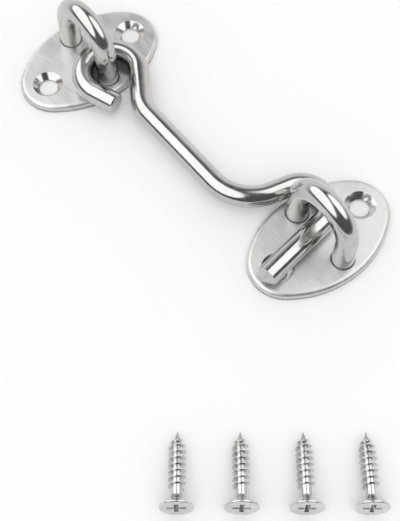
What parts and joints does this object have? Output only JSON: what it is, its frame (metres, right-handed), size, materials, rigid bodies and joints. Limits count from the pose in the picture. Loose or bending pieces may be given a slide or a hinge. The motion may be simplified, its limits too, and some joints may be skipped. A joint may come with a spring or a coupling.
{
  "type": "hook and eye latch",
  "caption": "Hook and eye latch: a bent bar hook turns on a riveted staple on an oval plate and drops round the leg of a matching keeper, with loose countersunk fixing screws.",
  "frame": {"origin": "middle of the hook plate's back face", "axes": "+X from the hook plate towards the keeper, +Y along the plates' long axis, +Z out of the plates' faces"},
  "size_m": [0.1358, 0.0828, 0.0191],
  "materials": {
    "satin_steel": "satin, finely brushed stainless steel",
    "polished_steel": "mirror-polished stainless steel",
    "screw_steel": "bright rolled stainless steel"
  },
  "bodies": {
    "base": {"hook_plate": "satin_steel", "hook_staple": "polished_steel", "keeper_plate": "satin_steel", "keeper_staple": "polished_steel", "fixing_screw_1": "screw_steel", "fixing_screw_2": "screw_steel", "fixing_screw_3": "screw_steel", "fixing_screw_4": "screw_steel"},
    "hook": {"hook": "polished_steel"}
  },
  "joints": [
    {"name": "hook_swing", "type": "hinge", "parent": "base", "child": "hook", "pos_m": [0.0074, 0, 0.00464], "axis": [0, 0, 1], "range_deg": [0, 155]}
  ]
}
